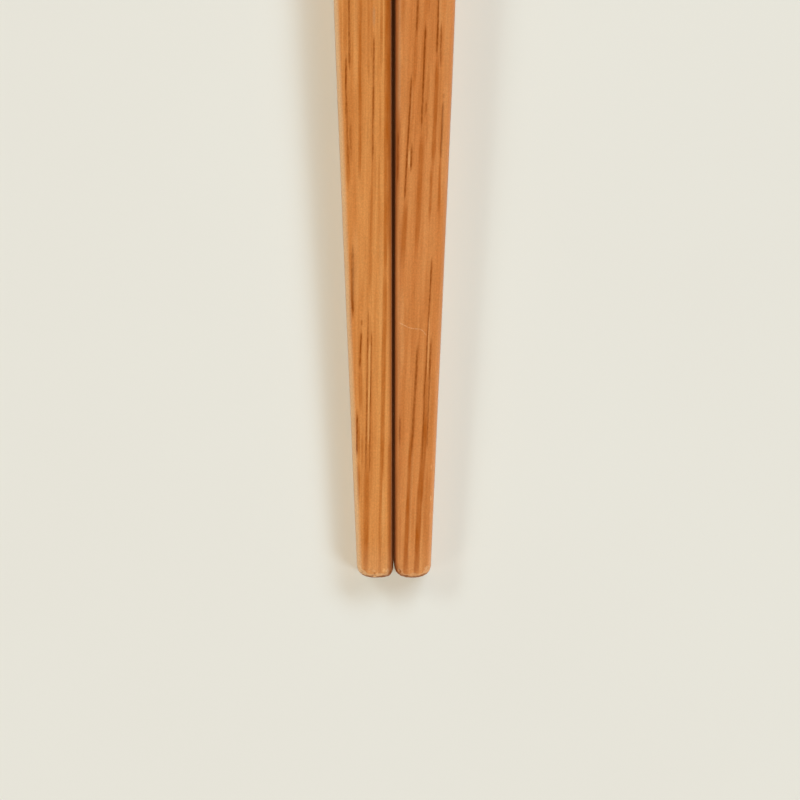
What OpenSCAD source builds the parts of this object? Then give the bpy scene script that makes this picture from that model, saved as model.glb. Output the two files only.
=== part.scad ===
// A pair of plain bamboo chopsticks, lying side by side as they rest on a table.
// X runs across the pair, Y from the tips to the handles and Z up from the table.
// Each stick is one strip of bamboo: its inner face is straight and leans back a little, its
// outer and upper faces narrow towards the tip, and its long edges are sanded round.

/* [Stick] */
// Length of each stick, from its tip to its handle end
stick_l = 240; // [180:1:280]
// Width of the handle, across its upper face
handle_w = 7.5; // [5:0.1:10]
// Thickness of the handle
handle_t = 5.2; // [3.5:0.1:8]
// How far the inner face leans back, from its foot to its top
inner_lean = 0.15; // [0:0.05:0.5]
// Radius that the four long edges are sanded to
edge_r = 0.8; // [0.2:0.05:1.2]
// Radius that the edges of the handle end are sanded to
handle_end_r = 0.5; // [0.2:0.05:1.2]

/* [Tip] */
// Width at the tip, across its upper face, before its end is rounded
tip_w = 3.9; // [2.8:0.1:5]
// Thickness at the tip
tip_t = 3.2; // [2.8:0.1:5]
// Length of the rounding that ends the tip, seen from above
tip_round_l = 1.6; // [0.8:0.1:3]
// Fullness of that rounding: 2 gives half an ellipse, more gives a squarer end
tip_fullness = 2.5; // [2:0.1:4]
// Width of the small flat left at the very end of the tip
tip_flat_w = 0.6; // [0.3:0.1:1.5]
// Radius of the tip's upper and lower end edges, seen from the side
tip_edge_r = 0.5; // [0.2:0.05:1]

/* [Taper] */
// Length of the taper, from the tip to the handle's full size
taper_l = 83; // [60:1:110]
// Length over which the taper eases into the handle
ease_l = 60; // [10:1:70]

/* [Pair] */
// Gap between the two sticks, at the foot of their inner faces
pair_gap = 0.1; // [0.1:0.05:5]

/* [Hidden] */

bamboo = "#CA7E41";

// Steps in each rounded corner, rounded end and eased stretch
corner_steps = 6;
end_steps = 8;
ease_steps = 16;

ease_from = taper_l - ease_l / 2;
ease_to = taper_l + ease_l / 2;

// How much of the growth from tip to handle is reached at distance s from the tip:
// a straight taper, then a parabola that meets both the taper and the handle without a kink
function growth(s) =
    s <= ease_from ? s / taper_l :
    s >= ease_to ? 1 :
    1 - (ease_to - s) ^ 2 / (2 * ease_l * taper_l);

function width_at(s) = tip_w + (handle_w - tip_w) * growth(s);
function thickness_at(s) = tip_t + (handle_t - tip_t) * growth(s);

// Share of full size at distance d from the end of a rounding that is l long: with a fullness
// of 2 a quarter ellipse, with more a fuller curve
function round_share(d, l, fullness = 2) =
    d >= l ? 1 : (1 - ((l - d) / l) ^ fullness) ^ (1 / fullness);

// How far an edge sanded to radius r is drawn in at distance d from the end
function drawn_in(d, r) = r * (1 - round_share(d, r));

// Distances from the tip at which the stick's section is set out
stations = concat(
    [for (i = [0 : end_steps]) tip_round_l * (1 - cos(90 * i / end_steps))],
    [for (i = [0 : ease_steps]) ease_from + ease_l * i / ease_steps],
    [for (i = [0 : end_steps]) stick_l - handle_end_r * (1 - sin(90 * i / end_steps))]
);

// One section across the right stick: four rounded corners, as points in X and Z
function section(s) =
    let (
        full_w = width_at(s),
        end_in = drawn_in(stick_l - s, handle_end_r),
        tip_share = round_share(s, tip_round_l, tip_fullness),
        half_w = max(tip_flat_w / 2, full_w / 2 * tip_share) - end_in,
        middle_x = pair_gap / 2 + inner_lean + full_w / 2,
        tip_in = drawn_in(s, tip_edge_r),
        low_z = tip_in + end_in,
        high_z = thickness_at(s) - tip_in - end_in,
        r = min(edge_r, half_w, (high_z - low_z) / 2),
        left_x = middle_x - half_w + r,
        right_x = middle_x + half_w - r,
        corners = [
            [right_x, high_z - r],
            [left_x, high_z - r],
            [left_x - inner_lean, low_z + r],
            [right_x, low_z + r]
        ]
    )
    [for (quarter = [0 : 3]) for (i = [0 : corner_steps])
        let (angle = 90 * (quarter + i / corner_steps))
        corners[quarter] + r * [cos(angle), sin(angle)]];

// The right stick: its sections, joined ring to ring and closed at both ends
module stick() {
    ring = 4 * (corner_steps + 1);
    rings = len(stations);
    points = [for (s = stations) for (p = section(s)) [p.x, s - stick_l / 2, p.y]];
    sides = [
        for (k = [0 : rings - 2]) for (i = [0 : ring - 1])
            let (
                a = k * ring + i,
                b = k * ring + (i + 1) % ring
            )
            each [[a, b, b + ring], [a, b + ring, a + ring]]
    ];
    tip_end = [for (i = [ring - 1 : -1 : 0]) i];
    handle_end = [for (i = [0 : ring - 1]) (rings - 1) * ring + i];
    polyhedron(points = points, faces = concat(sides, [tip_end, handle_end]), convexity = 4);
}

module right_chopstick() {
    color(bamboo) stick();
}

// The left stick is the right one's mirror image, so the two straight faces meet in the middle
module left_chopstick() {
    color(bamboo) mirror([1, 0, 0]) stick();
}

left_chopstick();
right_chopstick();
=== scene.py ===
import math
import bpy
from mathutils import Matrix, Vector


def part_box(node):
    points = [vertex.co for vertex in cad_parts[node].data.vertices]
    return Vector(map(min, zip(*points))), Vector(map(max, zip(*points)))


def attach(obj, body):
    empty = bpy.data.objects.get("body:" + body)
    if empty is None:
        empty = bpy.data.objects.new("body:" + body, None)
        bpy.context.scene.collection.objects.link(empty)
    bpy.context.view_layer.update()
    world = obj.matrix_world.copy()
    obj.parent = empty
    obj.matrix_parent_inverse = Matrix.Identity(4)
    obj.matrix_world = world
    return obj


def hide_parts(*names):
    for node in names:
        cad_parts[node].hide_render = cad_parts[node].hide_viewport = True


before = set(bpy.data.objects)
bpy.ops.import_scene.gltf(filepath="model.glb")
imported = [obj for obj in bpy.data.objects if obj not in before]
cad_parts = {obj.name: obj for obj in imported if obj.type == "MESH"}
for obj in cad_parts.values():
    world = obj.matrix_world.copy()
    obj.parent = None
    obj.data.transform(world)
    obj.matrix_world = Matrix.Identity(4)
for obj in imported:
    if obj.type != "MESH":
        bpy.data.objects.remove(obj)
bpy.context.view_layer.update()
scene = bpy.context.scene
scene.view_settings.view_transform = "Standard"
mm = 0.001
print("frame loaded:", ", ".join(sorted(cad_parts)))


# Node maths: a wire is a socket that adds, multiplies and so on, one Math node a step
class Wire:
    def __init__(self, tree, socket):
        self.tree = tree
        self.socket = socket

    def __add__(self, other):
        return maths("ADD", self, other)

    def __sub__(self, other):
        return maths("SUBTRACT", self, other)

    def __rsub__(self, other):
        return maths("SUBTRACT", other, self)

    def __mul__(self, other):
        return maths("MULTIPLY", self, other)

    def __truediv__(self, other):
        return maths("DIVIDE", self, other)

    def __rtruediv__(self, other):
        return maths("DIVIDE", other, self)

    def __pow__(self, other):
        return maths("POWER", self, other)

    __radd__ = __add__
    __rmul__ = __mul__


def plug(socket, value):
    if isinstance(value, Wire):
        value.tree.links.new(value.socket, socket)
    else:
        socket.default_value = value


def maths(operation, *values):
    tree = next(value.tree for value in values if isinstance(value, Wire))
    node = tree.nodes.new("ShaderNodeMath")
    node.operation = operation
    for socket, value in zip(node.inputs, values):
        plug(socket, value)
    return Wire(tree, node.outputs[0])


def makeNode(tree, kind, inputs=(), **settings):
    node = tree.nodes.new(kind)
    for name, value in settings.items():
        setattr(node, name, value)
    for name, value in dict(inputs).items():
        plug(node.inputs[name], value)
    return node


def remap(value, low, high, toLow=0.0, toHigh=1.0, curve="LINEAR"):
    node = makeNode(value.tree, "ShaderNodeMapRange", interpolation_type=curve)
    for name, given in zip(("Value", "From Min", "From Max", "To Min", "To Max"),
                           (value, low, high, toLow, toHigh)):
        plug(node.inputs[name], given)
    return Wire(value.tree, node.outputs["Result"])


def smooth(value, low, high):
    return remap(value, low, high, curve="SMOOTHSTEP")


def lowest(a, b):
    return maths("MINIMUM", a, b)


def highest(a, b):
    return maths("MAXIMUM", a, b)


def mix(a, b, share):
    return a + (b - a) * share


def joinXyz(tree, x, y, z):
    node = makeNode(tree, "ShaderNodeCombineXYZ", {"X": x, "Y": y, "Z": z})
    return Wire(tree, node.outputs[0])


def splitXyz(tree, vector):
    node = makeNode(tree, "ShaderNodeSeparateXYZ", {"Vector": vector})
    return [Wire(tree, socket) for socket in node.outputs]


def noise(tree, vector, detail=2.0, roughness=0.5):
    node = makeNode(tree, "ShaderNodeTexNoise",
                    {"Vector": vector, "Scale": 1.0, "Detail": detail, "Roughness": roughness})
    return Wire(tree, node.outputs[0])


def srgb(red, green, blue):
    def linear(level):
        share = level / 255
        return share / 12.92 if share <= 0.04045 else ((share + 0.055) / 1.055) ** 2.4
    return (linear(red), linear(green), linear(blue), 1.0)


# The sticks' shape: a loft of rounded rectangles from tip to handle end
low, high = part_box("right_chopstick")
solidLean = 0.15 * mm             # how far the solid's foot stands out below its upper face
stickSizes = {
    "length": high.y - low.y,
    "handleWidth": high.x - low.x - solidLean,
    "handleThickness": high.z - low.z,
    "halfGap": 0.222 * mm,        # between the upper edges of the inner faces
    "innerLean": 0.221 * mm,      # so that their feet all but meet
    "splay": 0.04 * mm,           # how much further apart each handle lies than its tip
    "tipWidth": 3.9 * mm,
    "tipThickness": 3.2 * mm,
    "tipRound": 1.6 * mm,         # length of the rounding seen from above
    "tipFullness": 2.5,           # 2 is half an ellipse, more is squarer
    "innerRound": 2.8 * mm,       # the same two on the side of the other stick
    "innerFullness": 3.5,
    "innerBow": 0.034 * mm,       # how far the inner faces' upper edges bulge behind the tips
    "tipFlat": 0.6 * mm,          # width of the flat at the very end
    "tipEdge": 0.5 * mm,          # radius of the end's upper and lower edges
    "taperLength": 83 * mm,
    "easeLength": 60 * mm,
    "edgeRadius": 0.8 * mm,
    "endRadius": 0.5 * mm,
    "waveHeight": 0.03 * mm,      # how far sanding leaves the faces uneven
    "tipRoughness": 0.09 * mm,    # how ragged the tip's end is
}
stickGrid = {
    "around": 144,                # sides of a section, a quarter of them to each corner and its flat
    "arcShare": 0.34,             # share of them that round the corner
    "capRows": 6,
    "bodyRows": 430,
    "roundRows": 8,
    "crowding": 1.8,              # rows crowd towards the tip by this power
    "weld": 0.0005 * mm,          # points nearer than this become one
}
stickWear = {
    "bowStart": (4 * mm, 16 * mm),    # the inner faces' bulge grows and ends between these places
    "bowEnd": (50 * mm, 34 * mm),
    "leanPower": 8.0,                 # the lean keeps to the inner face by this power
    "waves": (3 * mm, 14 * mm),       # size across and along
    "rags": (0.3 * mm, 0.5 * mm),
    "nearTip": (2.2 * mm, 0.6 * mm),  # where the raggedness starts and is full
    "aboveTable": (0.2 * mm, 1.0 * mm),
    "offInner": (-0.9, -0.5),         # tilts between which the inner faces are spared
}


# One dent pushed into the surface round a place
def nickGroup():
    tree = bpy.data.node_groups.new("nick", "GeometryNodeTree")
    tree.interface.new_socket("stick", in_out="INPUT", socket_type="NodeSocketGeometry")
    tree.interface.new_socket("place", in_out="INPUT", socket_type="NodeSocketVector")
    tree.interface.new_socket("push", in_out="INPUT", socket_type="NodeSocketVector")
    tree.interface.new_socket("radius", in_out="INPUT", socket_type="NodeSocketFloat")
    tree.interface.new_socket("stick", in_out="OUTPUT", socket_type="NodeSocketGeometry")
    given = {socket.name: Wire(tree, socket) for socket in tree.nodes.new("NodeGroupInput").outputs}
    position = Wire(tree, makeNode(tree, "GeometryNodeInputPosition").outputs[0])
    away = makeNode(tree, "ShaderNodeVectorMath", operation="DISTANCE")
    plug(away.inputs[0], position)
    plug(away.inputs[1], given["place"])
    depth = smooth(Wire(tree, away.outputs["Value"]), given["radius"], 0.0)
    offset = makeNode(tree, "ShaderNodeVectorMath", operation="SCALE")
    plug(offset.inputs[0], given["push"])
    plug(offset.inputs["Scale"], depth)
    moved = makeNode(tree, "GeometryNodeSetPosition",
                     {"Geometry": given["stick"], "Offset": Wire(tree, offset.outputs[0])})
    result = tree.nodes.new("NodeGroupOutput")
    plug(result.inputs["stick"], Wire(tree, moved.outputs[0]))
    return tree


def roundShare(distance, reach, fullness=2.0):
    rest = 1 - lowest(distance / reach, 1.0)
    return highest(1 - rest ** fullness, 0.0) ** (1.0 / fullness)


def stickTree(name, nick, nicks):
    tree = bpy.data.node_groups.new(name, "GeometryNodeTree")
    for label in stickSizes:
        tree.interface.new_socket(label, in_out="INPUT", socket_type="NodeSocketFloat")
    tree.interface.new_socket("side", in_out="INPUT", socket_type="NodeSocketFloat")
    tree.interface.new_socket("seed", in_out="INPUT", socket_type="NodeSocketFloat")
    tree.interface.new_socket("finish", in_out="INPUT", socket_type="NodeSocketMaterial")
    tree.interface.new_socket("stick", in_out="OUTPUT", socket_type="NodeSocketGeometry")
    given = {socket.name: Wire(tree, socket) for socket in tree.nodes.new("NodeGroupInput").outputs}

    # A flat grid: one way goes round the stick, the other from the tip's middle to the end's
    rowMarks = [stickGrid["capRows"]]
    for rows in (stickGrid["bodyRows"], stickGrid["roundRows"], stickGrid["capRows"]):
        rowMarks.append(rowMarks[-1] + rows)
    grid = makeNode(tree, "GeometryNodeMeshGrid", {"Size X": 1.0, "Size Y": 1.0,
                    "Vertices X": stickGrid["around"] + 1, "Vertices Y": rowMarks[-1] + 1})
    position = Wire(tree, makeNode(tree, "GeometryNodeInputPosition").outputs[0])
    gridX, gridY, _ = splitXyz(tree, position)
    row = (gridY + 0.5) * rowMarks[-1]
    tipCap = remap(row, 0.0, rowMarks[0])
    body = remap(row, rowMarks[0], rowMarks[1])
    endTurn = remap(row, rowMarks[1], rowMarks[2])
    endCap = remap(row, rowMarks[2], rowMarks[3], 1.0, 0.0)

    # Sizes of the section at this distance from the tip
    length, endRadius = given["length"], given["endRadius"]
    fromTip = (length - endRadius) * body ** stickGrid["crowding"] \
        + endRadius * maths("SINE", endTurn * (math.pi / 2))
    taper, ease = given["taperLength"], given["easeLength"]
    easing = remap(fromTip, taper - ease / 2, taper + ease / 2, 1.0, 0.0)
    growth = 1 - easing * easing * ease / (2 * taper) \
        - highest(taper - ease / 2 - fromTip, 0.0) / taper
    width = mix(given["tipWidth"], given["handleWidth"], growth)
    thickness = mix(given["tipThickness"], given["handleThickness"], growth)
    endIn = endRadius * (1 - roundShare(length - fromTip, endRadius))
    tipIn = given["tipEdge"] * (1 - roundShare(fromTip, given["tipEdge"]))

    def halfWidth(reach, fullness):
        share = roundShare(fromTip, given[reach], given[fullness])
        return highest(given["tipFlat"] / 2, width / 2 * share) - endIn

    halfOuter = halfWidth("tipRound", "tipFullness")
    halfInner = halfWidth("innerRound", "innerFullness")
    halfHeight = thickness / 2 - tipIn - endIn
    radius = lowest(given["edgeRadius"], lowest(lowest(halfOuter, halfInner), halfHeight))

    # A point round the section: along one corner's arc, then straight on to the next corner
    turn = (gridX + 0.5) * 4
    quarter = maths("FLOOR", turn)
    part = turn - quarter
    arcShare = stickGrid["arcShare"]
    angle = (quarter + lowest(part / arcShare, 1.0)) * (math.pi / 2)
    run = remap(part, arcShare, 1.0)

    def cornerX(step):
        sign = maths("SIGN", maths("COSINE", (quarter + step) * (math.pi / 2)))
        return sign * (mix(halfOuter, halfInner, highest(sign * given["side"] * -1, 0.0)) - radius)

    def cornerZ(step):
        return maths("SIGN", maths("SINE", (quarter + step) * (math.pi / 2))) * (halfHeight - radius)

    reach = tipCap * endCap
    sideways = mix(cornerX(0.5), cornerX(1.5), run) + radius * maths("COSINE", angle)
    upward = mix(cornerZ(0.5), cornerZ(1.5), run) + radius * maths("SINE", angle)
    inner = highest(sideways * given["side"] * -1 / halfInner, 0.0)
    spread = given["splay"] * growth
    foot = remap(upward, halfHeight - radius, radius - halfHeight)
    bow = given["innerBow"] * smooth(fromTip, *stickWear["bowStart"])
    bow = bow * smooth(fromTip, *stickWear["bowEnd"])
    lean = mix(bow, given["innerLean"] + spread, foot) * inner ** stickWear["leanPower"]
    x = given["side"] * (given["halfGap"] + spread + width / 2 - reach * lean) + reach * sideways
    z = thickness / 2 + reach * upward
    loft = makeNode(tree, "GeometryNodeSetPosition",
                    {"Geometry": Wire(tree, grid.outputs["Mesh"]),
                     "Position": joinXyz(tree, x, fromTip - length / 2, z)})
    closed = makeNode(tree, "GeometryNodeMergeByDistance",
                      {"Geometry": Wire(tree, loft.outputs[0]), "Distance": stickGrid["weld"]})
    outward = makeNode(tree, "GeometryNodeFlipFaces", {"Mesh": Wire(tree, closed.outputs[0])})

    # Sanding leaves shallow waves on the upper and outer faces, and a ragged tip
    placeX, placeY, placeZ = splitXyz(tree, position)
    seed = given["seed"]

    def bumps(across, along):
        spot = joinXyz(tree, placeX / across + seed, placeY / along, placeZ / across)
        return 2 * (noise(tree, spot) - 0.5)

    waves = bumps(*stickWear["waves"]) * given["waveHeight"]
    rags = bumps(*stickWear["rags"]) * given["tipRoughness"]
    nearTip = smooth(placeY + length / 2, *stickWear["nearTip"])
    aboveTable = smooth(placeZ, *stickWear["aboveTable"])
    uneven = aboveTable * (waves + rags * nearTip)
    normal = Wire(tree, makeNode(tree, "GeometryNodeInputNormal").outputs[0])
    facingX, _, _ = splitXyz(tree, normal)
    uneven = uneven * smooth(facingX * given["side"], *stickWear["offInner"])
    offset = makeNode(tree, "ShaderNodeVectorMath", operation="SCALE")
    plug(offset.inputs[0], normal)
    plug(offset.inputs["Scale"], uneven)
    sanded = makeNode(tree, "GeometryNodeSetPosition",
                      {"Geometry": Wire(tree, outward.outputs[0]),
                       "Offset": Wire(tree, offset.outputs[0])})

    stick = Wire(tree, sanded.outputs[0])
    for place, push, size in nicks:
        dent = makeNode(tree, "GeometryNodeGroup", node_tree=nick)
        plug(dent.inputs["stick"], stick)
        plug(dent.inputs["place"], [value * mm for value in place])
        plug(dent.inputs["push"], [value * mm for value in push])
        plug(dent.inputs["radius"], size * mm)
        stick = Wire(tree, dent.outputs["stick"])

    soft = makeNode(tree, "GeometryNodeSetShadeSmooth", {"Geometry": stick})
    plain = makeNode(tree, "GeometryNodeRealizeInstances", {"Geometry": Wire(tree, soft.outputs[0])})
    coated = makeNode(tree, "GeometryNodeSetMaterial",
                      {"Geometry": Wire(tree, plain.outputs[0]), "Material": given["finish"]})
    result = tree.nodes.new("NodeGroupOutput")
    plug(result.inputs["stick"], Wire(tree, coated.outputs[0]))
    return tree


def buildStick(name, tree, values):
    seedMesh = bpy.data.meshes.new(name)
    stick = bpy.data.objects.new(name, seedMesh)
    scene.collection.objects.link(stick)
    loft = stick.modifiers.new("loft", "NODES")
    loft.node_group = tree
    for item in tree.interface.items_tree:
        if item.in_out == "INPUT":
            loft[item.identifier] = values[item.name]
    depsgraph = bpy.context.evaluated_depsgraph_get()
    solid = bpy.data.meshes.new_from_object(stick.evaluated_get(depsgraph))
    stick.modifiers.remove(loft)
    stick.data = solid
    solid.name = name
    bpy.data.meshes.remove(seedMesh)
    return stick


# The bamboo finish: pale ground tissue with darker fibre bundles that run along the stick.
# Each layer has its width and reach in millimetres, a shift that sets it apart from the others, and
# the range of its noise that is used
grainLayers = {
    "tone": {"width": 1.4, "reach": 40, "shift": 3.1, "detail": 2.0, "range": (0.3, 0.7)},
    "bands": {"width": 0.42, "reach": 24, "shift": 7.7, "detail": 2.0, "range": (0.44, 0.7)},
    "strands": {"width": 0.2, "reach": 12, "shift": 15.2, "detail": 3.0, "range": (0.3, 0.7)},
    "fibres": {"width": 0.1, "reach": 5, "shift": 11.3, "detail": 3.0, "range": (0.25, 0.75)},
    "breaks": {"width": 0.5, "reach": 3.5, "shift": 19.6, "detail": 3.0, "range": (0.3, 0.7)},
    "beads": {"width": 0.16, "reach": 0.45, "shift": 23.4, "detail": 2.0, "range": (0.3, 0.7)},
    "stripes": {"width": 1.15, "reach": 34, "shift": 1.3, "size": 0.36},
    "pores": {"width": 0.8, "reach": 14, "shift": 5.9, "size": 0.17},
}
bambooFeel = {
    "roughness": 0.38,
    "shine": 0.4,
    "relief": 0.02 * mm,          # how deep the fibres are
    "reliefStrength": 0.6,
    "grit": 0.11,                 # how far fine grit lightens and darkens the colour
    "topRise": 0.0235,            # how steeply the upper face climbs from the tip
    "handLaid": (74.0, 62.0),     # millimetres from the tip at which the listed streaks fade
    "looseCut": 0.85,             # how far they push back the loose ones
    "splitShare": 0.42,
    "endShare": 0.7,
}


# One listed streak: a slim mask that tapers at both ends, and a wider glow round it
def streakGroup():
    tree = bpy.data.node_groups.new("fibreStreak", "ShaderNodeTree")
    for label in ("across", "along", "start", "end", "acrossStart", "acrossEnd", "width", "strength"):
        tree.interface.new_socket(label, in_out="INPUT", socket_type="NodeSocketFloat")
    for label in ("mask", "glow"):
        tree.interface.new_socket(label, in_out="OUTPUT", socket_type="NodeSocketFloat")
    given = {socket.name: Wire(tree, socket) for socket in tree.nodes.new("NodeGroupInput").outputs}
    way = remap(given["along"], given["start"], given["end"])
    centre = mix(given["acrossStart"], given["acrossEnd"], way)
    length = given["end"] - given["start"]
    fade = smooth(lowest(way, 1 - way) * length, 0.0, lowest(length * 0.35, given["width"] * 12))
    off = maths("ABSOLUTE", given["across"] - centre) / (given["width"] * (0.5 + fade * 0.5))
    shown = fade * given["strength"]
    result = tree.nodes.new("NodeGroupOutput")
    plug(result.inputs["mask"], smooth(off, 1.0, 0.4) * shown)
    plug(result.inputs["glow"], smooth(off, 3.0, 0.2) * shown)
    return tree


# One straight piece of a scratch
def scratchGroup():
    tree = bpy.data.node_groups.new("scratch", "ShaderNodeTree")
    for label in ("across", "along", "fromAcross", "fromAlong", "toAcross", "toAlong", "width"):
        tree.interface.new_socket(label, in_out="INPUT", socket_type="NodeSocketFloat")
    tree.interface.new_socket("mask", in_out="OUTPUT", socket_type="NodeSocketFloat")
    given = {socket.name: Wire(tree, socket) for socket in tree.nodes.new("NodeGroupInput").outputs}
    stepX = given["toAcross"] - given["fromAcross"]
    stepY = given["toAlong"] - given["fromAlong"]
    offX = given["across"] - given["fromAcross"]
    offY = given["along"] - given["fromAlong"]
    way = remap((offX * stepX + offY * stepY) / (stepX * stepX + stepY * stepY), 0.0, 1.0)
    missX = offX - way * stepX
    missY = offY - way * stepY
    distance = maths("SQRT", missX * missX + missY * missY)
    result = tree.nodes.new("NodeGroupOutput")
    plug(result.inputs["mask"], smooth(distance, given["width"], 0.0))
    return tree


def blendColour(tree, share, under, over):
    node = makeNode(tree, "ShaderNodeMix", data_type="RGBA")
    for index, value in ((0, share), (6, under), (7, over)):
        plug(node.inputs[index], value)
    return Wire(tree, node.outputs[2])


def bambooFinish(name, look, streak, scratch):
    material = bpy.data.materials.new(name)
    material.use_nodes = True
    tree = material.node_tree
    shader = tree.nodes["Principled BSDF"]
    place = makeNode(tree, "ShaderNodeTexCoord")
    x, y, z = splitXyz(tree, Wire(tree, place.outputs["Object"]))
    across = x * 1000                       # millimetres from here on
    along = (y - low.y) * 1000
    height = z * 1000
    seed = look["seed"]

    # Fibres lean a little across the stick and wander slowly
    wander = noise(tree, joinXyz(tree, across * 0.25 + seed, along * 0.045, height * 0.25), 1.0)
    grainX = across - along * look["lean"] + (wander - 0.5) * 0.6
    grainZ = height + along * 0.006

    def spot(layer):
        return joinXyz(tree, grainX * (1 / layer["width"]) + (seed + layer["shift"]),
                       along * (1 / layer["reach"]), grainZ * (1 / layer["width"]))

    def grain(name, curve="LINEAR"):
        layer = grainLayers[name]
        return remap(noise(tree, spot(layer), layer["detail"]), *layer["range"], curve=curve)

    tone = grain("tone")
    bands = grain("bands", "SMOOTHSTEP")
    strands = grain("strands")
    fibres = grain("fibres")
    breaks = grain("breaks")
    beads = grain("beads")
    mottle = noise(tree, joinXyz(tree, across * 1.1 + seed, along * 0.8, height * 1.1), 3.0)
    mottle = remap(mottle, 0.3, 0.7)
    grit = noise(tree, joinXyz(tree, across * 6 + seed, along * 5, height * 6), 2.0)

    # Bundles: long slim cells, seen as streaks along the stick and as dots on its ends
    def bundles(name):
        layer = grainLayers[name]
        cells = makeNode(tree, "ShaderNodeTexVoronoi", {"Vector": spot(layer), "Scale": 1.0})
        return smooth(Wire(tree, cells.outputs["Distance"]), layer["size"], layer["size"] * 0.35)

    stripes = bundles("stripes")
    pores = bundles("pores")

    # Where the listed streaks lie, on the top face near the tips, the loose ones step back
    tipTop = stickSizes["tipThickness"] * 1000
    handleTop = stickSizes["handleThickness"] * 1000
    top = lowest(tipTop + along * bambooFeel["topRise"], handleTop)
    onTop = smooth(height - top, -1.3, -0.5)
    handLaid = onTop * smooth(along, *bambooFeel["handLaid"])
    loose = 1 - bambooFeel["looseCut"] * handLaid

    ragged = across + (fibres - 0.5) * 0.07 + (wander - 0.5) * 0.12

    def laid(rows, part="mask"):
        total = None
        for start, end, acrossStart, acrossEnd, width, strength in rows:
            values = {"across": ragged, "along": along, "start": start, "end": end, "width": width,
                      "acrossStart": acrossStart, "acrossEnd": acrossEnd, "strength": strength}
            one = Wire(tree, makeNode(tree, "ShaderNodeGroup", values, node_tree=streak).outputs[part])
            total = one if total is None else highest(total, one)
        return total * onTop * (0.6 + breaks * 0.55)

    broad = highest(laid(look["bands"]), stripes * 0.7 * loose)
    broad = highest(broad, laid(look["lines"], "glow") * 0.4)
    thin = highest(laid(look["lines"]) * (0.5 + beads * 0.75), pores * loose)
    pale = laid(look["pales"])
    grey = laid(look["greys"])

    def scratched(marks):
        total = None
        for (fromAcross, fromAlong), (toAcross, toAlong) in zip(marks, marks[1:]):
            values = {"across": across, "along": along, "fromAcross": fromAcross, "fromAlong": fromAlong,
                      "toAcross": toAcross, "toAlong": toAlong, "width": look["scratchWidth"]}
            one = Wire(tree, makeNode(tree, "ShaderNodeGroup", values, node_tree=scratch).outputs[0])
            total = one if total is None else highest(total, one)
        return total * onTop * (0.04 + beads * 0.5)

    # Outer edges carry a pale painted sheen, a painted reflection and highlight on their rounding over a
    # little sanded wood, except where a line cuts into them. The tip's end is sanded pale.
    # The ends show dark end grain, and the inner edges are dull, with painted shade where they turn down
    # into the gap, above the paler split faces
    facingX, facingY, facingZ = splitXyz(tree, Wire(tree, place.outputs["Normal"]))
    # Painted sheen: the outer rounding is lightened where it turns towards the side lights
    outward = smooth(facingX * look["side"], *look["rimTilt"]) * smooth(height - top, -1.7, -0.8)
    outward = outward * (0.35 + smooth(along, *look["rimReach"]) * 0.65)
    outward = outward * (1 - lowest(thin, 1.0) * 0.7)
    facingIn = facingX * -look["side"]
    inward = smooth(facingIn, 0.45, 0.95)
    splitFace = smooth(facingIn, 0.93, 0.985)
    tipward = smooth(facingY * -1, 0.05, 0.3) * smooth(facingZ, 0.3, 0.7)
    endGrain = smooth(maths("ABSOLUTE", facingY), 0.5, 0.85)
    tipWear = smooth(along, 5.0, 0.5) * look["tipShare"]

    colour = blendColour(tree, tone, look["deep"], look["light"])
    colour = blendColour(tree, mottle * 0.35, colour, look["warm"])
    colour = blendColour(tree, bands * 0.42 * (0.55 + loose * 0.45), colour, look["band"])
    colour = blendColour(tree, (1 - strands) * 0.22 + (1 - fibres) * 0.12, colour, look["band"])
    colour = blendColour(tree, lowest(broad, 1.0), colour, look["band"])
    colour = blendColour(tree, lowest(thin, 1.0), colour, look["line"])
    colour = blendColour(tree, pale * 0.8, colour, look["fibre"])
    # grey films, and on the right stick's inner shoulder a painted sheen
    colour = blendColour(tree, grey, colour, look["grey"])
    if look["scratch"]:
        colour = blendColour(tree, scratched(look["scratch"]), colour, look["scratchTint"])
    # painted sheen and highlight on the outer edges
    colour = blendColour(tree, outward * look["rimShare"], colour, look["rimSheen"])
    colour = blendColour(tree, tipward * 0.4 + tipWear, colour, look["tip"])
    # Painted shade: the inner edges darken where they turn down into the gap between the sticks
    colour = blendColour(tree, inward * look["grooveShadeShare"], colour, look["grooveShade"])
    colour = blendColour(tree, splitFace * bambooFeel["splitShare"], colour, look["split"])
    colour = blendColour(tree, endGrain * bambooFeel["endShare"], colour, look["end"])
    level = remap(grit, 0.25, 0.75, 1 - bambooFeel["grit"], 1 + bambooFeel["grit"])
    gritty = makeNode(tree, "ShaderNodeHueSaturation", {"Value": level, "Color": colour})
    plug(shader.inputs["Base Color"], Wire(tree, gritty.outputs[0]))
    plug(shader.inputs["Roughness"],
         bambooFeel["roughness"] + fibres * 0.08 + endGrain * 0.2 + inward * 0.4)
    plug(shader.inputs["Specular IOR Level"], bambooFeel["shine"] - inward * 0.38)
    relief = makeNode(tree, "ShaderNodeBump",
                      {"Height": fibres * 0.4 + strands * 0.3 - thin * 0.6 - bands * 0.3,
                       "Strength": bambooFeel["reliefStrength"], "Distance": bambooFeel["relief"]})
    plug(shader.inputs["Normal"], Wire(tree, relief.outputs[0]))
    return material


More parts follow.
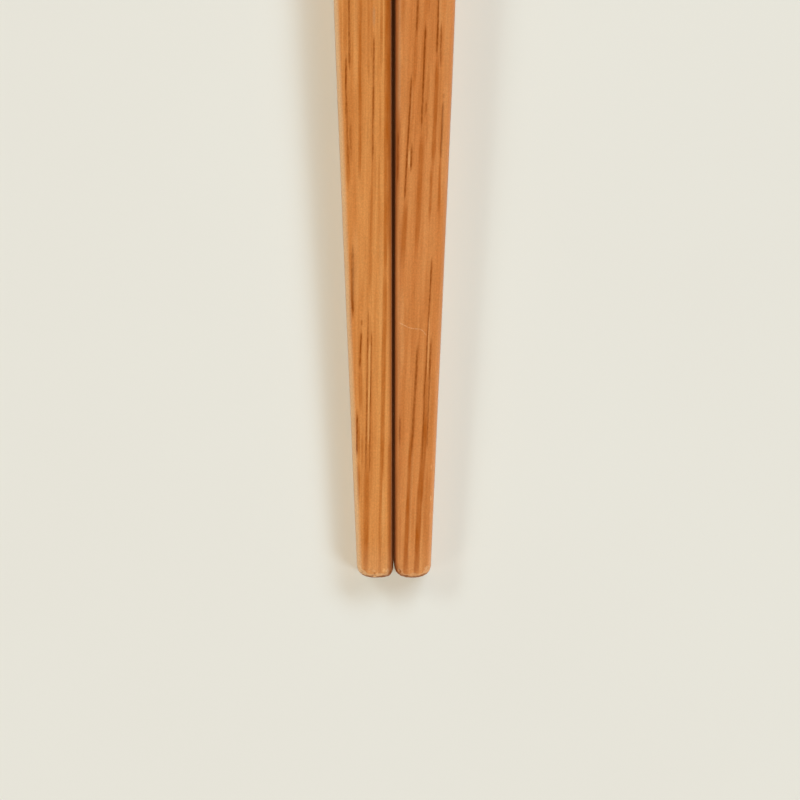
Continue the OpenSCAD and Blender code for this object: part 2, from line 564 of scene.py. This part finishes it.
# The left stick. Its streaks are in millimetres: start and end from the tip, places across at
# both, width, and then strength
leftLook = {
    "seed": 2.0,
    "side": -1.0,
    "shape": {                    # how this stick differs from stickSizes
        "tipWidth": 3.84 * mm,
        "handleWidth": stickSizes["handleWidth"] * 0.966,
        "innerFullness": 4.8,
        "halfGap": 0.232 * mm,
        "innerLean": 0.231 * mm,
    },
    "lean": 0.012,
    "light": srgb(227, 157, 88),
    "deep": srgb(212, 135, 69),
    "warm": srgb(225, 146, 78),
    "band": srgb(172, 88, 16),
    "line": srgb(148, 74, 12),
    "fibre": srgb(234, 172, 106),
    "grey": srgb(160, 128, 100),
    # pale painted sheen on the outer edge's rounding, over a little sanded wood
    "rimSheen": srgb(240, 202, 152),
    "rimShare": 0.74,
    "rimTilt": (0.12, 0.8),
    "rimReach": (130.0, 70.0),
    "tip": srgb(238, 196, 144),
    "tipShare": 0.13,
    # painted shade on the inner edge, where it turns down into the gap
    "grooveShade": srgb(152, 80, 26),
    "grooveShadeShare": 0.7,
    "split": srgb(226, 174, 124),
    "end": srgb(128, 68, 30),
    "bands": [
        (43.0, 50.0, -5.06, -5.1, 0.3, 0.65),
        (44.0, 80.0, -3.8, -3.73, 0.24, 0.7),
        (55.0, 80.0, -2.8, -2.84, 0.18, 0.4),
        (56.0, 80.0, -1.36, -1.3, 0.22, 0.55),
        (57.0, 80.0, -2.46, -2.36, 0.18, 0.4),
        (57.0, 80.0, -5.42, -5.52, 0.3, 0.42),
        (57.0, 80.0, -4.0, -3.9, 0.42, 0.3),
        (35.0, 80.0, -0.56, -0.5, 0.34, 0.66),
        (45.0, 80.0, -0.68, -0.64, 0.24, 0.92),
        (41.0, 51.0, -2.18, -2.14, 0.26, 0.25),
        (31.0, 49.0, -2.66, -2.33, 0.24, 0.42),
        (33.0, 80.0, -0.93, -0.74, 0.28, 0.75),
        (9.0, 36.0, -1.36, -0.94, 0.34, 0.72),
        (-3.0, 18.0, -1.6, -1.3, 0.25, 0.6),
        (25.5, 34.0, -4.8, -4.86, 0.18, 0.6),
        (18.0, 24.5, -3.68, -3.72, 0.26, 0.6),
        (12.5, 18.5, -3.9, -3.95, 0.2, 0.6),
        (11.5, 17.5, -3.52, -3.55, 0.16, 0.5),
        (-2.5, 15.5, -3.17, -3.04, 0.4, 0.72),
        (7.5, 14.0, -3.95, -4.02, 0.24, 0.65),
        (-3.0, 17.0, -0.52, -0.44, 0.26, 0.6),
        (34.0, 48.0, -1.75, -1.6, 0.2, 0.25),
    ],
    "lines": [
        (56.5, 80.0, -4.93, -5.2, 0.15, 0.9),
        (51.0, 59.4, -5.32, -5.34, 0.14, 0.95),
        (45.5, 55.0, -5.06, -5.34, 0.14, 0.75),
        (46.0, 52.2, -4.77, -4.87, 0.17, 0.5),
        (46.0, 61.8, -2.38, -2.18, 0.14, 0.85),
        (28.6, 38.2, -4.56, -4.56, 0.2, 1.4),
        (11.5, 30.5, -3.18, -2.82, 0.12, 0.72),
        (11.5, 28.2, -2.74, -2.48, 0.11, 0.75),
        (23.0, 28.4, -3.8, -3.6, 0.12, 1.15),
        (28.2, 29.2, -3.58, -3.57, 0.12, 0.5),
        (13.0, 19.4, -4.16, -4.1, 0.15, 0.95),
        (0.1, 0.55, -1.22, -0.95, 0.16, 0.7),
        (0.25, 0.7, -2.14, -2.14, 0.12, 0.8),
    ],
    "pales": [
        (14.5, 27.0, -2.87, -2.67, 0.12, 0.6),
        (2.0, 12.0, -1.2, -1.1, 0.26, 0.4),
        (28.5, 41.0, -4.2, -4.34, 0.5, 0.4),
        (25.0, 41.0, -1.46, -1.42, 0.3, 0.35),
        (0.6, 1.1, -1.14, -1.02, 0.18, 1.15),
        (54.0, 70.0, -4.3, -4.25, 0.3, 0.25),
    ],
    "greys": [
        (61.5, 64.6, -2.19, -2.19, 0.22, 0.35),
    ],
    "scratch": [],
}

# The right stick, with its streaks in the same columns, and a scratch from place to place:
# across, and from the tip
rightLook = {
    "seed": 9.0,
    "side": 1.0,
    "shape": {
        "tipWidth": 3.93 * mm,
        "handleWidth": stickSizes["handleWidth"] * 1.008,
    },
    "lean": 0.042,
    "light": srgb(224, 153, 89),
    "deep": srgb(207, 128, 65),
    "warm": srgb(219, 134, 73),
    "band": srgb(168, 84, 16),
    "line": srgb(144, 71, 12),
    "fibre": srgb(232, 168, 106),
    # grey of the painted sheen on the inner shoulder
    "grey": srgb(160, 128, 100),
    # pale painted sheen on the outer edge's rounding, over a little sanded wood
    "rimSheen": srgb(238, 162, 100),
    "rimShare": 0.58,
    "rimTilt": (0.35, 0.85),
    "rimReach": (34.0, 3.0),
    "tip": srgb(238, 186, 130),
    "tipShare": 0.1,
    # painted shade on the inner edge, where it turns down into the gap
    "grooveShade": srgb(160, 90, 40),
    "grooveShadeShare": 0.5,
    "split": srgb(226, 174, 124),
    "end": srgb(144, 90, 52),
    "bands": [
        (54.0, 66.0, 2.3, 2.78, 0.24, 0.5),
        (34.5, 52.5, 2.48, 3.36, 0.4, 0.66),
        (33.5, 44.0, 1.0, 1.4, 0.4, 0.65),
        (44.5, 60.5, 4.36, 5.08, 0.34, 0.75),
        (39.0, 47.5, 4.0, 4.35, 0.22, 0.6),
        (40.0, 48.4, 5.0, 5.36, 0.2, 0.65),
        (38.0, 54.0, 0.46, 0.56, 0.26, 0.45),
        (-3.0, 18.5, 1.14, 2.18, 0.38, 0.82),
        (15.0, 24.0, 3.4, 3.8, 0.36, 0.55),
        (-3.0, 14.0, 2.4, 3.16, 0.42, 0.85),
        (4.5, 21.0, 2.7, 3.82, 0.42, 0.88),
        (60.0, 80.0, 0.95, 1.3, 0.3, 0.3),
        (62.0, 80.0, 3.85, 4.4, 0.24, 0.35),
        (48.0, 58.0, 3.7, 4.1, 0.2, 0.3),
        (-3.0, 15.0, 3.4, 3.7, 0.35, 0.28),
    ],
    "lines": [
        (60.5, 80.0, 2.57, 3.32, 0.15, 1.0),
        (50.0, 62.8, 3.13, 3.64, 0.14, 1.1),
        (42.0, 57.0, 1.2, 2.06, 0.13, 1.0),
        (44.0, 50.8, 0.46, 0.53, 0.12, 0.8),
        (45.3, 49.4, 1.92, 2.1, 0.13, 1.0),
        (58.3, 68.5, 4.86, 5.22, 0.14, 1.05),
        (57.0, 63.0, 5.28, 5.4, 0.13, 0.85),
        (53.8, 54.6, 5.66, 5.68, 0.13, 0.6),
        (46.5, 54.2, 5.3, 5.64, 0.13, 1.4),
        (51.8, 53.9, 3.64, 3.7, 0.12, 0.7),
        (19.0, 36.4, 3.37, 4.36, 0.13, 0.9),
        (22.5, 27.6, 4.06, 4.26, 0.13, 0.8),
        (12.5, 23.0, 3.2, 3.56, 0.12, 0.75),
        (14.0, 26.0, 3.75, 4.15, 0.12, 0.7),
        (13.0, 27.2, 1.95, 2.8, 0.18, 0.75),
        (14.3, 18.9, 0.64, 0.74, 0.17, 0.7),
        (0.4, 1.1, 0.62, 0.68, 0.16, 0.8),
    ],
    "pales": [
        (45.6, 48.6, 1.72, 1.82, 0.13, 0.8),
        (22.5, 30.0, 3.84, 4.06, 0.11, 0.55),
        (60.5, 67.0, 5.2, 5.32, 0.16, 0.35),
        (41.0, 80.0, 5.42, 6.76, 0.4, 0.4),
        (1.0, 15.5, 1.66, 2.2, 0.2, 0.3),
        (-3.0, 46.0, 0.4, 0.42, 0.32, 0.5),
        (22.0, 34.0, 0.95, 1.0, 0.35, 0.4),
        (50.5, 56.0, 1.9, 2.2, 0.14, 0.3),
        (8.5, 9.4, 4.2, 4.22, 0.12, 0.9),
        (6.7, 7.5, 4.12, 4.12, 0.1, 0.6),
        (12.1, 12.9, 4.25, 4.25, 0.1, 0.6),
    ],
    # grey on the inner shoulder: a painted sheen, a painted reflection of the side light
    "greys": [
        (50.0, 72.0, 0.55, 0.6, 0.3, 0.25),
        (20.0, 34.0, 0.5, 0.55, 0.26, 0.1),
    ],
    "scratch": [(0.65, 28.72), (1.18, 28.46), (1.66, 28.2), (2.1, 28.08), (2.6, 28.03), (3.0, 28.0),
                (3.3, 27.82), (3.5, 27.58), (3.65, 27.35)],
    "scratchWidth": 0.08,
    "scratchTint": srgb(250, 208, 160),
}

# Small dents in the tips' upper edges: place, push and radius in millimetres
tipY = low.y * 1000
leftNicks = [
    ((-2.13, tipY + 0.2, 3.0), (0.0, 0.16, -0.1), 0.24),
    ((-1.3, tipY + 0.1, 2.9), (0.0, 0.1, -0.04), 0.3),
    ((-3.3, tipY + 0.5, 3.0), (0.05, 0.07, -0.03), 0.4),
]
rightNicks = [
    ((0.66, tipY + 0.7, 3.0), (0.05, 0.12, -0.1), 0.3),
    ((1.5, tipY + 0.2, 2.9), (0.0, 0.08, -0.04), 0.35),
    ((3.8, tipY + 0.9, 3.0), (-0.05, 0.06, -0.05), 0.5),
]

nick = nickGroup()
streak = streakGroup()
scratch = scratchGroup()
for name, node, look, nicks in (("leftStick", "left_chopstick", leftLook, leftNicks),
                                ("rightStick", "right_chopstick", rightLook, rightNicks)):
    finish = bambooFinish(name + "Bamboo", look, streak, scratch)
    values = {**stickSizes, **look["shape"], "side": look["side"], "seed": look["seed"], "finish": finish}
    stick = buildStick(name, stickTree(name + "Shape", nick, nicks), values)
    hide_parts(node)
    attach(stick, "root")
    print(name, "has", len(stick.data.polygons), "faces")

# The floor: a pale plain board
floorLook = {
    "size": 3.0,
    "colour": srgb(232, 230, 220),
    "shade": srgb(230, 227, 217),
    "cloudScale": 30.0,
    "roughness": 0.6,
    "shine": 0.1,
}
half = floorLook["size"] / 2
floorMesh = bpy.data.meshes.new("floor")
floorMesh.from_pydata([(-half, -half, 0), (half, -half, 0), (half, half, 0), (-half, half, 0)],
                      [], [(0, 1, 2, 3)])
floor = bpy.data.objects.new("floor", floorMesh)
scene.collection.objects.link(floor)
paint = bpy.data.materials.new("paleFloor")
paint.use_nodes = True
floorTree = paint.node_tree
floorShader = floorTree.nodes["Principled BSDF"]
floorPlace = makeNode(floorTree, "ShaderNodeTexCoord")
clouds = makeNode(floorTree, "ShaderNodeTexNoise",
                  {"Vector": Wire(floorTree, floorPlace.outputs["Object"]),
                   "Scale": floorLook["cloudScale"], "Detail": 3.0})
plug(floorShader.inputs["Base Color"],
     blendColour(floorTree, Wire(floorTree, clouds.outputs[0]), floorLook["colour"], floorLook["shade"]))
plug(floorShader.inputs["Roughness"], floorLook["roughness"])
plug(floorShader.inputs["Specular IOR Level"], floorLook["shine"])
floorMesh.materials.append(paint)
print("floor laid")

# Soft light: windows at the four corners of the room, a lamp overhead and a warm glow all round
lamps = {
    "farRight": {"turn": 49, "rise": 36, "width": 3.4, "height": 1.2, "level": (0.187, 0.252, 0.32)},
    "farLeft": {"turn": 145, "rise": 33, "width": 2.0, "height": 0.7, "level": (0.09, 0.11, 0.118),
                "shine": True},
    "nearLeft": {"turn": 211, "rise": 28, "width": 1.0, "height": 1.0, "level": (0.05, 0.048, 0.045)},
    "nearRight": {"turn": 327, "rise": 36, "width": 1.2, "height": 1.2, "level": (0.12, 0.147, 0.176)},
    "overhead": {"turn": 90, "rise": 90, "width": 0.25, "height": 0.25, "level": (0.388, 0.443, 0.372)},
}
lampDistance = 4.0
aim = (0.0, low.y + 30 * mm, 0.0)
for name, lamp in lamps.items():
    light = bpy.data.lights.new(name, "AREA")
    light.shape = "RECTANGLE"
    light.size, light.size_y = lamp["width"], lamp["height"]
    turn, rise = math.radians(lamp["turn"]), math.radians(lamp["rise"])
    strongest = max(lamp["level"])
    light.color = [value / strongest for value in lamp["level"]]
    light.energy = strongest * (math.pi * lampDistance) ** 2 / math.sin(rise)
    lampObject = bpy.data.objects.new(name, light)
    lampObject.location = (aim[0] + lampDistance * math.cos(rise) * math.cos(turn),
                           aim[1] + lampDistance * math.cos(rise) * math.sin(turn),
                           aim[2] + lampDistance * math.sin(rise))
    lampObject.rotation_euler = (math.pi / 2 - rise, 0.0, turn + math.pi / 2)
    lampObject.visible_glossy = lamp.get("shine", False)
    scene.collection.objects.link(lampObject)

# The room itself glows a little, and is seen pale at the sides and dim overhead
roomLook = {
    "glow": (0.2, 0.045, 0.01, 1.0),
    "walls": floorLook["colour"],
    "ceiling": (0.12, 0.12, 0.12, 1.0),
    "rise": (0.2, 0.8),           # where the walls turn into the ceiling
}
world = bpy.data.worlds.new("room")
scene.world = world
world.use_nodes = True
roomTree = world.node_tree
background = roomTree.nodes["Background"]
ray = makeNode(roomTree, "ShaderNodeLightPath")
seen = Wire(roomTree, ray.outputs["Is Camera Ray"])
for kind in ("Is Glossy Ray", "Is Transmission Ray"):
    seen = highest(seen, Wire(roomTree, ray.outputs[kind]))
roomPlace = makeNode(roomTree, "ShaderNodeTexCoord")
_, _, upward = splitXyz(roomTree, Wire(roomTree, roomPlace.outputs["Generated"]))
overhead = smooth(upward, *roomLook["rise"])
view = blendColour(roomTree, overhead, roomLook["walls"], roomLook["ceiling"])
plug(background.inputs["Color"], blendColour(roomTree, seen, roomLook["glow"], view))
print("lamps and room set")

# The camera looks straight down on the tips, as the photograph does
photo = {
    "pixels": 800,
    "mmPerPixel": 0.1125,
    "tipRow": 578.0,              # pixels from the top to the tips' ends
    "gapColumn": 393.45,          # and from the left to the gap
    "height": 450 * mm,
    "faceRise": 0.8 * mm,         # the middle of the upper faces in view, above the tips' thickness
}
frameWidth = photo["pixels"] * photo["mmPerPixel"] * mm
camera = bpy.data.cameras.new("photoCamera")
camera.sensor_width = 36.0
faceHeight = stickSizes["tipThickness"] + photo["faceRise"]
camera.lens = camera.sensor_width * (photo["height"] - faceHeight) / frameWidth
camera.clip_start = 0.01
cameraObject = bpy.data.objects.new("photoCamera", camera)
middle = photo["pixels"] / 2
cameraObject.location = ((middle - photo["gapColumn"]) * photo["mmPerPixel"] * mm,
                         low.y + (photo["tipRow"] - middle) * photo["mmPerPixel"] * mm,
                         photo["height"])
scene.collection.objects.link(cameraObject)
scene.camera = cameraObject
print("camera set")
